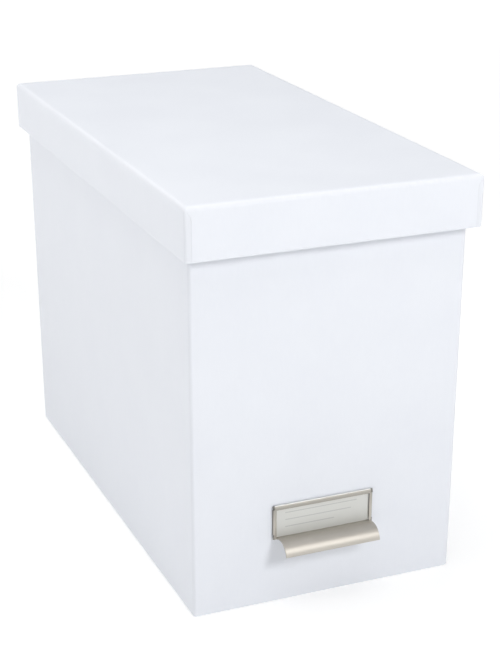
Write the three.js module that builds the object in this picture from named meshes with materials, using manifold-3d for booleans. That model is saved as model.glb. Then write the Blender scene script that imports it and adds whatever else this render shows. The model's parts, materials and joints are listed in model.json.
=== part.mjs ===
// Document box: a tall paper-covered board box for hanging files, with a lift-off lid
// and a stamped metal label holder whose window tongue is bent out as a pull.
// Millimetres, +Z up. The origin is the centre of the underside and the label end faces -Y.

import * as THREE from 'three';
import { mergeVertices } from 'three/addons/utils/BufferGeometryUtils.js';
import Module from 'manifold-3d';

const wasm = await Module();
wasm.setup();

// Overall sizes
const boxHeight = 262;
const lidWidth = 186;
const lidLength = 352;
const lidHeight = 32;
const bodyWidth = 176;
const bodyLength = 334;

// Board and paper
const boardThick = 2.3;
const wrapThick = 0.3;
const liningThick = 0.3;
const baseSheetThick = 0.4;
const glueFilm = 0.05;
const turnInDepth = 15;
const baseSheetInset = 3;

// Rounded edges: the boards are rounder than the paper over them, so that it lies clear
const bodyCornerRadius = 2;
const bodyFootRadius = 1;
const lidCornerRadius = 3.2;
const lidEdgeRadius = 3;
const lidSkirtRadius = 0.8;
const boardEase = 0.3;

// Lid seat and the room over the rails for the files' hooks
const lidSeatGap = 0.3;
const hookRoom = 11;

// File rails, one folded over the rim of each end wall
const railSheet = 0.8;
const railLeg = 12;
const railSideGap = 0.3;
const railEndGap = 2;
const railBendRadius = 1.2;

// Rivets through the rails
const rivetShankRadius = 1.5;
const rivetHeadRadius = 3;
const rivetHeadThick = 0.8;
const rivetBore = 0.3;
const rivetDrop = 7;
const rivetInset = 15;

// Label holder, stamped from one sheet
const holderOffset = -3;
const holderBottom = 45;
const holderWidth = 67.6;
const holderHeight = 23;
const holderSheet = 0.8;
const holderStandOff = 2;
const sideBarWidth = 3.2;
const topBarWidth = 3;
const bottomBarWidth = 1.2;
const cornerNotch = 3.2;
const pullRadius = 11.7;
const pullRootAngle = THREE.MathUtils.degToRad(62.6);
const pullTipAngle = THREE.MathUtils.degToRad(155);
const prongWidth = 3;
const prongSpacing = 9;
const prongReach = 5;
const prongEase = 0.3;

// Label card
const cardWidth = 62.4;
const cardHeight = 21.4;
const cardThick = 0.4;
const cardSeatGap = 0.3;

// Cutting and faceting
const overrun = 1;
const arcSteps = 3;
const edgeSteps = 5;
const pullSteps = 7;
const sharpestCornerShare = 0.05;
const roundSides = 24;

// Levels and layers worked out from the sizes above
const skinThick = wrapThick + glueFilm;
const rimThick = 2 * skinThick + boardThick;
const wallThick = skinThick + boardThick + glueFilm + liningThick;
const wrapBottom = baseSheetThick + glueFilm;
const floorBottom = wrapBottom + skinThick;
const floorTop = floorBottom + boardThick;
const floorLiningTop = floorTop + glueFilm + liningThick;
const lidBottom = boxHeight - lidHeight;
const sideRim = boxHeight - wallThick - lidSeatGap;
const railTop = boxHeight - wallThick - hookRoom;
const endRim = railTop - railSheet - glueFilm;
const rimInnerWidth = bodyWidth - 2 * rimThick;
const rimInnerLength = bodyLength - 2 * rimThick;
const railLength = rimInnerWidth - 2 * railEndGap;
const rivetLevel = railTop - rivetDrop;
const rivetPlace = railLength / 2 - rivetInset;

// Materials

function finish(color, roughness, metalness) {
  return () => new THREE.MeshStandardMaterial({ color, roughness, metalness });
}

const whitePaper = finish(0xe9ebf0, 0.62, 0);
const liningPaper = finish(0xe3e4e6, 0.85, 0);
const greyBoard = finish(0x9c968c, 0.9, 0);
const satinNickel = finish(0xc9bfb0, 0.32, 0.9);
const railSteel = finish(0xb9bbbd, 0.35, 0.9);
const labelStock = finish(0xd2d3cd, 0.7, 0);

// Solids from three.js geometries

function solidOf(geometry) {
  geometry.deleteAttribute('normal');
  geometry.deleteAttribute('uv');
  const merged = mergeVertices(geometry);
  const vertProperties = merged.attributes.position.array;
  const triVerts = Uint32Array.from(merged.index.array);
  return new wasm.Manifold(new wasm.Mesh({ numProp: 3, vertProperties, triVerts }));
}

function geometryOf(solid) {
  const { vertProperties, triVerts } = solid.getMesh();
  const geometry = new THREE.BufferGeometry();
  geometry.setAttribute('position', new THREE.BufferAttribute(vertProperties, 3));
  geometry.setIndex(new THREE.BufferAttribute(triVerts, 1));
  geometry.computeVertexNormals();
  return geometry;
}

function part(name, solid, material) {
  const mesh = new THREE.Mesh(geometryOf(solid), material());
  mesh.name = name;
  return mesh;
}

function joined(solids) {
  return solids.reduce((whole, solid) => whole.add(solid));
}

function cut(solid, tools) {
  return tools.reduce((rest, tool) => rest.subtract(tool), solid);
}

// Moves the two ends of a unit shape exactly to two places along an axis
function setEnds(geometry, axis, [low, high]) {
  const values = geometry.attributes.position;
  for (let index = 0; index < values.count; index += 1) {
    const end = values.getComponent(index, axis) > 0 ? high : low;
    values.setComponent(index, axis, end);
  }
  return geometry;
}

// A block between two limits on each axis
function block(...limits) {
  const box = new THREE.BoxGeometry(1, 1, 1);
  limits.forEach((ends, axis) => setEnds(box, axis, ends));
  return solidOf(box);
}

// The limits of a width centred on zero
function about(width) {
  return [-width / 2, width / 2];
}

// A rectangle as an outline, its two low corners and its two high corners rounded
function outline(width, [low, high], lowRadius, highRadius) {
  const half = width / 2;
  const corners = [
    [half, low, lowRadius, -1, 1, -0.5],
    [half, high, highRadius, -1, -1, 0],
    [-half, high, highRadius, 1, -1, 0.5],
    [-half, low, lowRadius, 1, 1, 1],
  ];
  const shape = new THREE.Shape();
  corners.forEach(([x, y, radius, inX, inY, turn], index) => {
    if (radius > 0) {
      const start = turn * Math.PI;
      shape.absarc(x + inX * radius, y + inY * radius, radius, start, start + Math.PI / 2, false);
    } else if (index === 0) {
      shape.moveTo(x, y);
    } else {
      shape.lineTo(x, y);
    }
  });
  return shape;
}

function extruded(shape, ends, curveSegments = arcSteps) {
  const options = { depth: 1, bevelEnabled: false, curveSegments };
  return setEnds(new THREE.ExtrudeGeometry(shape, options), 2, ends);
}

// An outline drawn in X and Z, run along Y
function extrudedAlongY(shape, length) {
  const geometry = extruded(shape, about(length));
  geometry.rotateX(Math.PI / 2);
  return solidOf(geometry);
}

// An outline drawn in Y and Z, run along X
function extrudedAlongX(shape, length, curveSegments) {
  const geometry = extruded(shape, about(length), curveSegments);
  geometry.rotateX(Math.PI / 2);
  geometry.rotateZ(Math.PI / 2);
  return solidOf(geometry);
}

// The points of a centred rectangle with rounded corners, in order round it
function cornerRing(width, length, radius, level) {
  const points = [];
  const corners = [[1, -1], [1, 1], [-1, 1], [-1, -1]];
  corners.forEach(([sideX, sideY], corner) => {
    for (let step = 0; step <= edgeSteps; step += 1) {
      const angle = (Math.PI / 2) * (corner - 1 + step / edgeSteps);
      const x = sideX * (width / 2 - radius) + radius * Math.cos(angle);
      const y = sideY * (length / 2 - radius) + radius * Math.sin(angle);
      points.push([x, y, level]);
    }
  });
  return points;
}

// How far a rounded edge draws in, and at what level, from the low end of a form to its high end
function edgeProfile([low, high], lowRadius, highRadius) {
  const quarter = (radius) => (radius > 0 ? edgeSteps : 0);
  const profile = [];
  for (let step = 0; step <= quarter(lowRadius); step += 1) {
    const angle = (Math.PI / 2) * (step / edgeSteps);
    profile.push([lowRadius * (1 - Math.sin(angle)), low + lowRadius * (1 - Math.cos(angle))]);
  }
  for (let step = quarter(highRadius); step >= 0; step -= 1) {
    const angle = (Math.PI / 2) * (step / edgeSteps);
    profile.push([highRadius * (1 - Math.sin(angle)), high - highRadius * (1 - Math.cos(angle))]);
  }
  return profile;
}

// A box form with rounded upright corners and rounded low and high edges
function boxForm(width, length, levels, cornerRadius, lowRadius, highRadius) {
  const rings = edgeProfile(levels, lowRadius, highRadius).map(([inset, level]) => {
    const radius = Math.max(cornerRadius - inset, cornerRadius * sharpestCornerShare);
    return cornerRing(width - 2 * inset, length - 2 * inset, radius, level);
  });
  const count = rings[0].length;
  const foot = rings.length * count;
  const faces = [];
  for (let point = 0; point < count; point += 1) {
    const next = (point + 1) % count;
    for (let ring = 0; ring < rings.length - 1; ring += 1) {
      const here = ring * count;
      const above = here + count;
      faces.push(here + point, here + next, above + next);
      faces.push(here + point, above + next, above + point);
    }
    faces.push(foot, next, point);
    faces.push(foot + 1, foot - count + point, foot - count + next);
  }
  const geometry = new THREE.BufferGeometry();
  const centres = levels.map((level) => [0, 0, level]);
  const places = [...rings.flat(), ...centres].flat();
  geometry.setAttribute('position', new THREE.Float32BufferAttribute(places, 3));
  geometry.setIndex(faces);
  return solidOf(geometry);
}

function rodAlongY(radius, [x, z], ends) {
  const rod = new THREE.CylinderGeometry(radius, radius, 1, roundSides);
  setEnds(rod, 1, ends);
  rod.translate(x, 0, z);
  return solidOf(rod);
}

// Holes through both end walls where the rivets pass
function rivetHoles() {
  const reach = about(bodyLength + 2 * overrun);
  const radius = rivetShankRadius + rivetBore;
  return [-rivetPlace, rivetPlace].map((x) => rodAlongY(radius, [x, rivetLevel], reach));
}

// Slots through the front wall where the holder's prongs pass
function prongSlots() {
  const wall = -bodyLength / 2;
  return prongPlaces().map(([side, level]) => {
    const edge = holderOffset + (side * holderWidth) / 2;
    const middle = edge - (side * holderSheet) / 2;
    const centre = holderBottom + level;
    const slotWidth = holderSheet + 2 * prongEase;
    const slotHeight = prongWidth + 2 * prongEase;
    return block(
      [middle - slotWidth / 2, middle + slotWidth / 2],
      [wall - overrun, wall + wallThick + overrun],
      [centre - slotHeight / 2, centre + slotHeight / 2],
    );
  });
}

// Body: boards

// What the boards are cut to, so that they lie inside the wrap
function bodyBoardForm() {
  const width = bodyWidth - 2 * skinThick;
  const length = bodyLength - 2 * skinThick;
  const corner = bodyCornerRadius - skinThick + boardEase;
  const foot = bodyFootRadius - skinThick + boardEase;
  return boxForm(width, length, [floorBottom, sideRim], corner, foot, 0);
}

function floorBoard() {
  const slab = block(about(bodyWidth), about(bodyLength), [floorBottom, floorTop]);
  return slab.intersect(bodyBoardForm());
}

function sideWallBoard(side) {
  const outer = bodyWidth / 2 - skinThick;
  const inner = outer - boardThick;
  const limits = side < 0 ? [-outer, -inner] : [inner, outer];
  const slab = block(limits, about(bodyLength), [floorTop + glueFilm, sideRim - skinThick]);
  return slab.intersect(bodyBoardForm());
}

function endWallBoard(side) {
  const outer = bodyLength / 2 - skinThick;
  const inner = outer - boardThick;
  const limits = side < 0 ? [-outer, -inner] : [inner, outer];
  const width = bodyWidth - 2 * (skinThick + boardThick + glueFilm);
  const slab = block(about(width), limits, [floorTop + glueFilm, endRim - skinThick]);
  const slots = side < 0 ? prongSlots() : [];
  return cut(slab, [...rivetHoles(), ...slots]);
}

// Body: papers

// The outer paper: turned under the floor, over every rim and down inside
function bodyWrap() {
  const levels = [wrapBottom, sideRim];
  const outside = boxForm(bodyWidth, bodyLength, levels, bodyCornerRadius, bodyFootRadius, 0);
  const under = boxForm(
    bodyWidth - 2 * wrapThick,
    bodyLength - 2 * wrapThick,
    [wrapBottom + wrapThick, sideRim - wrapThick],
    bodyCornerRadius - wrapThick,
    bodyFootRadius - wrapThick,
    0,
  );
  const underLength = bodyLength - 2 * wrapThick;
  const turnedWidth = rimInnerWidth + 2 * wrapThick;
  const turnedLength = rimInnerLength + 2 * wrapThick;
  const sideTurn = sideRim - turnInDepth;
  const endTurn = endRim - turnInDepth;

  const lowRoom = under.intersect(block(about(bodyWidth), about(bodyLength), [0, endTurn]));
  const mouth = block(about(rimInnerWidth), about(rimInnerLength), [floorTop, boxHeight]);
  const notch = block(about(rimInnerWidth), about(bodyLength + overrun), [endRim, boxHeight]);
  const behindSides = block(about(turnedWidth), about(rimInnerLength), [floorTop, sideTurn]);
  const underneath = block(
    about(bodyWidth - 2 * turnInDepth),
    about(bodyLength - 2 * turnInDepth),
    [0, floorTop],
  );
  const boardRooms = [-1, 1].flatMap((side) => {
    const sideRoom = block(
      layer(side, turnedWidth / 2, bodyWidth),
      about(underLength),
      [floorTop, sideRim],
    );
    const endRoom = block(
      about(bodyWidth),
      layer(side, turnedLength / 2, bodyLength),
      [floorTop, endRim - wrapThick],
    );
    return [under.intersect(sideRoom), under.intersect(endRoom)];
  });
  const rooms = [lowRoom, mouth, notch, behindSides, underneath, ...boardRooms];
  return cut(outside, [...rooms, ...rivetHoles(), ...prongSlots()]);
}

// The limits of a layer that starts a distance from zero, on one side of it
function layer(side, start, thickness) {
  return side < 0 ? [-start - thickness, -start] : [start, start + thickness];
}

// The inner paper of the four walls, up to the edge of the paper turned in over each rim
function wallLining() {
  const innerWidth = bodyWidth - 2 * wallThick;
  const innerLength = bodyLength - 2 * wallThick;
  const outerWidth = innerWidth + 2 * liningThick;
  const outerLength = innerLength + 2 * liningThick;
  const low = floorTop + glueFilm;
  const sideTop = sideRim - turnInDepth - glueFilm;
  const endTop = endRim - turnInDepth - glueFilm;
  const tube = block(about(outerWidth), about(outerLength), [low, sideTop]);
  const inside = block(about(innerWidth), about(innerLength), [0, boxHeight]);
  const overEnds = [-1, 1].map((side) => {
    const beyond = layer(side, innerLength / 2, wallThick);
    return block(about(bodyWidth), beyond, [endTop, boxHeight]);
  });
  return cut(tube, [inside, ...overEnds, ...prongSlots()]);
}

function floorLining() {
  const width = bodyWidth - 2 * (wallThick + glueFilm);
  const length = bodyLength - 2 * (wallThick + glueFilm);
  return block(about(width), about(length), [floorTop + glueFilm, floorLiningTop]);
}

function baseSheet() {
  const width = bodyWidth - 2 * baseSheetInset;
  const length = bodyLength - 2 * baseSheetInset;
  return block(about(width), about(length), [0, baseSheetThick]);
}

// File rails and their rivets

// A folded channel on the rim of an end wall, drawn about the wall's middle
function fileRail() {
  const gap = rimThick + 2 * railSideGap;
  const folded = outline(gap + 2 * railSheet, [railTop - railLeg, railTop], 0, railBendRadius);
  const body = extrudedAlongX(folded, railLength);
  const groove = block(
    about(railLength + 2 * overrun),
    about(gap),
    [railTop - railLeg - overrun, railTop - railSheet],
  );
  return cut(body, [groove, ...rivetHoles()]);
}

// A tubular rivet along Y: a low domed head outside, a rolled head inside
function rivet() {
  const grip = rimThick + 2 * (railSideGap + railSheet + glueFilm);
  const half = grip / 2;
  const crownRadius = rivetHeadRadius - rivetHeadThick;
  const profile = [
    [0, -half - rivetHeadThick],
    [crownRadius, -half - rivetHeadThick],
    [rivetHeadRadius, -half - rivetHeadThick / 4],
    [rivetHeadRadius, -half],
    [rivetShankRadius, -half],
    [rivetShankRadius, half],
    [rivetHeadRadius, half],
    [rivetHeadRadius, half + rivetHeadThick / 4],
    [crownRadius, half + rivetHeadThick],
    [rivetShankRadius, half + rivetHeadThick],
    [0, half],
  ];
  const points = profile.map(([radius, y]) => new THREE.Vector2(radius, y));
  return solidOf(new THREE.LatheGeometry(points, roundSides));
}

// Label holder, drawn about its own middle: y = 0 is the wall's face, z = 0 its lower edge

// The side and the height of each prong's middle
function prongPlaces() {
  const places = [];
  for (const side of [-1, 1]) {
    for (const step of [-1, 1]) {
      places.push([side, (holderHeight + step * prongSpacing) / 2]);
    }
  }
  return places;
}

function holderFace() {
  const front = [-holderStandOff, holderSheet - holderStandOff];
  const face = block(about(holderWidth), front, [0, holderHeight]);
  const window = block(
    about(holderWidth - 2 * sideBarWidth),
    [-holderStandOff - overrun, holderSheet],
    [bottomBarWidth, holderHeight - topBarWidth],
  );
  return face.subtract(window);
}

function holderFlanges() {
  const depth = [-holderStandOff, -glueFilm];
  const levels = [cornerNotch, holderHeight - cornerNotch];
  const ledge = block(about(holderWidth - 2 * cornerNotch), depth, [0, holderSheet]);
  const sides = [-1, 1].map((side) => {
    const edge = layer(side, holderWidth / 2 - holderSheet, holderSheet);
    return block(edge, depth, levels);
  });
  return joined([ledge, ...sides]);
}

// A prong runs through the wall and is bent flat behind it, towards the middle
function holderProng(side, level) {
  const behind = wallThick + glueFilm;
  const edge = layer(side, holderWidth / 2 - holderSheet, holderSheet);
  const bent = layer(side, holderWidth / 2 - prongReach, prongReach);
  const levels = [level - prongWidth / 2, level + prongWidth / 2];
  const shank = block(edge, [-holderStandOff, behind + holderSheet], levels);
  const clinch = block(bent, [behind, behind + holderSheet], levels);
  return shank.add(clinch);
}

// The tongue of the window, bent out on a round and rooted in the bar below the window
function holderPull() {
  const rootY = holderSheet / 2 - holderStandOff;
  const rootZ = bottomBarWidth - holderSheet / 2;
  const centreY = rootY - pullRadius * Math.cos(pullRootAngle);
  const centreZ = rootZ - pullRadius * Math.sin(pullRootAngle);
  const outer = pullRadius + holderSheet / 2;
  const inner = pullRadius - holderSheet / 2;
  const section = new THREE.Shape();
  section.absarc(centreY, centreZ, outer, pullRootAngle, pullTipAngle, false);
  section.absarc(centreY, centreZ, inner, pullTipAngle, pullRootAngle, true);
  const length = holderWidth - 2 * sideBarWidth;
  return extrudedAlongX(section, length, pullSteps);
}

function labelHolder() {
  const prongs = prongPlaces().map(([side, level]) => holderProng(side, level));
  return joined([holderFace(), holderFlanges(), holderPull(), ...prongs]);
}

// The card stands on the holder's ledge, midway between the wall and the face's back
function labelCard() {
  const pocket = holderStandOff - holderSheet;
  const low = holderSheet + cardSeatGap;
  const depth = [-(pocket + cardThick) / 2, -(pocket - cardThick) / 2];
  return block(about(cardWidth), depth, [low, low + cardHeight]);
}

// Lid, drawn from its lower edge up

function lidBoardForm() {
  const width = lidWidth - 2 * skinThick;
  const length = lidLength - 2 * skinThick;
  const corner = lidCornerRadius - skinThick + boardEase;
  const edge = lidEdgeRadius - skinThick + boardEase;
  const low = lidSkirtRadius - skinThick + boardEase;
  return boxForm(width, length, [skinThick, lidHeight - skinThick], corner, low, edge);
}

function lidTopBoard() {
  const high = lidHeight - skinThick;
  const slab = block(about(lidWidth), about(lidLength), [high - boardThick, high]);
  return slab.intersect(lidBoardForm());
}

function lidSideBoard(side) {
  const inner = lidWidth / 2 - skinThick - boardThick;
  const top = lidHeight - skinThick - boardThick - glueFilm;
  const slab = block(layer(side, inner, boardThick), about(lidLength), [skinThick, top]);
  return slab.intersect(lidBoardForm());
}

function lidEndBoard(side) {
  const inner = lidLength / 2 - skinThick - boardThick;
  const width = lidWidth - 2 * (skinThick + boardThick + glueFilm);
  const top = lidHeight - skinThick - boardThick - glueFilm;
  const slab = block(about(width), layer(side, inner, boardThick), [skinThick, top]);
  return slab.intersect(lidBoardForm());
}

// The outer paper of the lid: over the top, round the skirt's lower edge and up inside
function lidWrap() {
  const outside = boxForm(
    lidWidth,
    lidLength,
    [0, lidHeight],
    lidCornerRadius,
    lidSkirtRadius,
    lidEdgeRadius,
  );
  const under = boxForm(
    lidWidth - 2 * wrapThick,
    lidLength - 2 * wrapThick,
    [wrapThick, lidHeight - wrapThick],
    lidCornerRadius - wrapThick,
    lidSkirtRadius - wrapThick,
    lidEdgeRadius - wrapThick,
  );
  const innerWidth = lidWidth - 2 * rimThick;
  const innerLength = lidLength - 2 * rimThick;
  const turnedTop = lidHeight - skinThick - boardThick - glueFilm;
  const mouth = block(about(innerWidth), about(innerLength), [-overrun, turnedTop]);
  const turned = block(
    about(innerWidth + 2 * wrapThick),
    about(innerLength + 2 * wrapThick),
    [0, turnedTop],
  );
  return cut(outside, [under.subtract(turned), mouth]);
}

function lidTopLining() {
  const width = lidWidth - 2 * (rimThick + glueFilm);
  const length = lidLength - 2 * (rimThick + glueFilm);
  const low = lidHeight - wallThick;
  return block(about(width), about(length), [low, low + liningThick]);
}

// Assembly

function buildBody() {
  const body = new THREE.Group();
  body.add(part('base_sheet', baseSheet(), whitePaper));
  body.add(part('floor_board', floorBoard(), greyBoard));
  body.add(part('left_wall_board', sideWallBoard(-1), greyBoard));
  body.add(part('right_wall_board', sideWallBoard(1), greyBoard));
  body.add(part('front_wall_board', endWallBoard(-1), greyBoard));
  body.add(part('rear_wall_board', endWallBoard(1), greyBoard));
  body.add(part('body_wrap', bodyWrap(), whitePaper));
  body.add(part('wall_lining', wallLining(), liningPaper));
  body.add(part('floor_lining', floorLining(), liningPaper));
  return body;
}

function buildRails() {
  const rails = new THREE.Group();
  const middle = (bodyLength - rimThick) / 2;
  for (const [end, side] of [['front', -1], ['rear', 1]]) {
    const rail = part(`${end}_file_rail`, fileRail(), railSteel);
    rail.position.y = side * middle;
    rails.add(rail);
    for (const [hand, place] of [['left', -rivetPlace], ['right', rivetPlace]]) {
      const fastener = part(`${end}_${hand}_rail_rivet`, rivet(), railSteel);
      fastener.position.set(place, side * middle, rivetLevel);
      fastener.rotation.z = side < 0 ? 0 : Math.PI;
      rails.add(fastener);
    }
  }
  return rails;
}

function buildHolder() {
  const holder = new THREE.Group();
  holder.add(part('label_holder', labelHolder(), satinNickel));
  holder.add(part('label_card', labelCard(), labelStock));
  holder.position.set(holderOffset, -bodyLength / 2, holderBottom);
  return holder;
}

function buildLid() {
  const lid = new THREE.Group();
  lid.add(part('lid_top_board', lidTopBoard(), greyBoard));
  lid.add(part('lid_left_board', lidSideBoard(-1), greyBoard));
  lid.add(part('lid_right_board', lidSideBoard(1), greyBoard));
  lid.add(part('lid_front_board', lidEndBoard(-1), greyBoard));
  lid.add(part('lid_rear_board', lidEndBoard(1), greyBoard));
  lid.add(part('lid_wrap', lidWrap(), whitePaper));
  lid.add(part('lid_top_lining', lidTopLining(), liningPaper));
  lid.position.z = lidBottom;
  return lid;
}

const group = new THREE.Group();
group.add(buildBody());
group.add(buildRails());
group.add(buildHolder());
group.add(buildLid());

export default group;
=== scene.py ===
import json
import math

import bmesh
import bpy
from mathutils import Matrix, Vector


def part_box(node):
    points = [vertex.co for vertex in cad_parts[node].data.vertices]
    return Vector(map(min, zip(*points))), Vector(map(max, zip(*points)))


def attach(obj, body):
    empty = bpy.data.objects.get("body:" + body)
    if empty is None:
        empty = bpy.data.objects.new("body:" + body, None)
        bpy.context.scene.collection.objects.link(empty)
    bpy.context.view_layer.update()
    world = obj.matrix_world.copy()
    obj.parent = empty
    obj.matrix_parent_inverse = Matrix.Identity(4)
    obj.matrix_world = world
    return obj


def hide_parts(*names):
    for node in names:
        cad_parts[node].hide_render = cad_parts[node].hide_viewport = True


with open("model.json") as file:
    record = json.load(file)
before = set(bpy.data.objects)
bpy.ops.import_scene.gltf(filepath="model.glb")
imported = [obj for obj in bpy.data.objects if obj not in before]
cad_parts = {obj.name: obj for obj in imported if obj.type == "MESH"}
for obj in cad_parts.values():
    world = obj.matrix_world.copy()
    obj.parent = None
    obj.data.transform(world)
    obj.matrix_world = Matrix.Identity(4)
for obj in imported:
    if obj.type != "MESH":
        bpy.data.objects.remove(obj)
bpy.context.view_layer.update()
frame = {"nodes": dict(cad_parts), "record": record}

nodes = frame["nodes"]
mm = 0.001
print("frame loaded:", len(nodes), "nodes")


# Camera

cameraSet = dict(
    place=(-0.375446, -0.953478, 0.499320),
    azimuth=-22.43,
    elevation=24.39,
    focalPixels=1580.9,
    centreRow=440.5,
    imageRows=667,
    sensor=36,
    clip=(0.01, 200),
)


def addObject(name, data):
    added = bpy.data.objects.new(name, data)
    bpy.context.scene.collection.objects.link(added)
    return added


# Azimuth turns from the label end to the right, and elevation rises from the floor
def directionTo(azimuth, elevation):
    turn, rise = math.radians(azimuth), math.radians(elevation)
    return Vector((
        math.sin(turn) * math.cos(rise),
        -math.cos(turn) * math.cos(rise),
        math.sin(rise),
    ))


def makeCamera():
    look = cameraSet
    data = bpy.data.cameras.new("studioCamera")
    camera = addObject("studioCamera", data)
    rows = look["imageRows"]
    data.sensor_fit = "AUTO"
    data.sensor_width = look["sensor"]
    data.lens = look["sensor"] * look["focalPixels"] / rows
    data.shift_y = (look["centreRow"] - rows / 2) / rows
    data.clip_start, data.clip_end = look["clip"]
    back = directionTo(look["azimuth"], look["elevation"])
    camera.location = look["place"]
    camera.rotation_mode = "QUATERNION"
    camera.rotation_quaternion = (-back).to_track_quat("-Z", "Y")
    bpy.context.scene.camera = camera


makeCamera()


# Node maths: a socket that can be added, multiplied and compared

class Wire:
    def __init__(self, maker, socket):
        self.maker = maker
        self.socket = socket

    def maths(self, operation, first, second=0.0):
        return self.maker.add("ShaderNodeMath", {"operation": operation}, {0: first, 1: second})

    def __add__(self, other):
        return self.maths("ADD", self, other)

    def __radd__(self, other):
        return self.maths("ADD", other, self)

    def __sub__(self, other):
        return self.maths("SUBTRACT", self, other)

    def __rsub__(self, other):
        return self.maths("SUBTRACT", other, self)

    def __mul__(self, other):
        return self.maths("MULTIPLY", self, other)

    def __rmul__(self, other):
        return self.maths("MULTIPLY", other, self)

    def __truediv__(self, other):
        return self.maths("DIVIDE", self, other)

    def __gt__(self, other):
        return self.maths("GREATER_THAN", self, other)

    def __lt__(self, other):
        return self.maths("LESS_THAN", self, other)

    def __neg__(self):
        return self.maths("MULTIPLY", self, -1.0)

    def __abs__(self):
        return self.maths("ABSOLUTE", self)

    def least(self, other):
        return self.maths("MINIMUM", self, other)

    def most(self, other):
        return self.maths("MAXIMUM", self, other)

    def clamped(self):
        wire = self.maths("MULTIPLY", self, 1.0)
        wire.socket.node.use_clamp = True
        return wire

    def parts(self):
        split = self.maker.tree.nodes.new("ShaderNodeSeparateXYZ")
        self.maker.feed(split.inputs[0], self)
        return [Wire(self.maker, output) for output in split.outputs]


class Maker:
    def __init__(self, tree):
        self.tree = tree

    def add(self, kind, settings=None, inputs=None, output=0):
        node = self.tree.nodes.new(kind)
        for name, value in (settings or {}).items():
            if name == "stops":
                self.setStops(node.color_ramp, value)
            else:
                setattr(node, name, value)
        for name, value in (inputs or {}).items():
            self.feed(node.inputs[name], value)
        return Wire(self, node.outputs[output])

    def setStops(self, ramp, stops):
        while len(ramp.elements) < len(stops):
            ramp.elements.new(0.5)
        for element, (place, shade) in zip(ramp.elements, stops):
            element.position = place
            element.color = (shade, shade, shade, 1)

    def feed(self, socket, value):
        if isinstance(value, Wire):
            self.tree.links.new(value.socket, socket)
        else:
            socket.default_value = value

    def vector(self, x, y, z):
        return self.add("ShaderNodeCombineXYZ", {}, {0: x, 1: y, 2: z})

    def noise(self, vector, scale, detail=2.0, roughness=0.5):
        inputs = {"Vector": vector, "Scale": scale, "Detail": detail, "Roughness": roughness}
        return self.add("ShaderNodeTexNoise", {}, inputs)


class Finish(Maker):
    def __init__(self, name, fixed):
        self.material = bpy.data.materials.new(name)
        self.material.use_nodes = True
        super().__init__(self.material.node_tree)
        self.shader = self.tree.nodes["Principled BSDF"]
        for socket, value in fixed.items():
            self.shader.inputs[socket].default_value = value

    def set(self, name, value):
        self.feed(self.shader.inputs[name], value)

    def place(self, stretch=None):
        where = self.add("ShaderNodeTexCoord", output="Object")
        if not stretch:
            return where
        return self.add("ShaderNodeVectorMath", {"operation": "MULTIPLY"}, {0: where, 1: stretch})

    def ramp(self, value, stops):
        return self.add("ShaderNodeValToRGB", {"stops": stops}, {0: value})

    def blend(self, factor, first, second):
        first = (*first, 1) if isinstance(first, tuple) else first
        second = (*second, 1) if isinstance(second, tuple) else second
        inputs = {0: factor, 6: first, 7: second}
        return self.add("ShaderNodeMix", {"data_type": "RGBA"}, inputs, output=2)

    def attribute(self, name):
        return self.add("ShaderNodeAttribute", {"attribute_name": name}, output="Fac")

    def bump(self, height, strength, distance):
        inputs = {"Height": height, "Strength": strength, "Distance": distance}
        self.set("Normal", self.add("ShaderNodeBump", {}, inputs))


# Finishes

coverPaperLook = dict(
    paper=(0.776, 0.798, 0.843),
    shaded=(0.751, 0.773, 0.823),
    # lighter colour at the folds: partly wear, partly painted highlight
    wornAndHighlight=(0.81, 0.824, 0.86),
    # darkens the lap's edge, the lapped strip and, as painted shade, the rounded vertical corners
    seam=(0.60, 0.61, 0.64),
    seamDepth=0.42,
    stripDepth=0.16,
    paintedCornerShadeDepth=0.10,
    toothScale=1900,
    cockleScale=28,
    fibreScale=620,
    fibreStretch=(1, 1, 0.25),
    mottle=[(0.3, 0.0), (0.7, 1.0)],
    refraction=1.46,
    roughness=0.46,
    coat=0.10,
    coatRoughness=0.38,
    relief=(0.22, 0.12 * mm),
)


def coverPaper():
    look = coverPaperLook
    fixed = {"IOR": look["refraction"], "Coat Roughness": look["coatRoughness"]}
    finish = Finish("coverPaper", fixed)
    where = finish.place()
    tooth = finish.noise(where, look["toothScale"], 3.0, 0.6)
    cockle = finish.noise(where, look["cockleScale"], 2.0, 0.45)
    fibre = finish.noise(finish.place(look["fibreStretch"]), look["fibreScale"], 4.0, 0.65)
    fold = finish.attribute("fold")
    # The lap's edge line is partly the glue line and partly painted shadow of the lap step
    shade = finish.attribute("seam") * look["seamDepth"]
    shade = shade + finish.attribute("strip") * look["stripDepth"]
    # painted shade down the rounded vertical corners
    shade = shade + finish.attribute("crease") * look["paintedCornerShadeDepth"]
    mottle = finish.ramp(cockle * 0.6 + fibre * 0.4, look["mottle"])
    colour = finish.blend(mottle, look["shaded"], look["paper"])
    # Folds turn lighter: partly wear, partly painted highlight on the rounded edges
    scuffAndHighlight = (fold * (fibre * 1.4 - 0.2)).clamped()
    colour = finish.blend(scuffAndHighlight, colour, look["wornAndHighlight"])
    finish.set("Base Color", finish.blend(shade.clamped(), colour, look["seam"]))
    finish.set("Roughness", look["roughness"] + 0.10 * cockle + 0.12 * scuffAndHighlight)
    finish.set("Coat Weight", look["coat"] - 0.06 * fold)
    finish.bump(tooth * 0.3 + fibre * 0.5 + cockle * 2.2, *look["relief"])
    return finish.material


liningPaperLook = dict(
    paper=(0.78, 0.785, 0.79),
    fleck=(0.70, 0.70, 0.69),
    toothScale=1300,
    cloudScale=34,
    flecks=[(0.42, 0.0), (0.62, 1.0)],
    refraction=1.45,
    roughness=0.78,
    relief=(0.35, 0.12 * mm),
)


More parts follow.
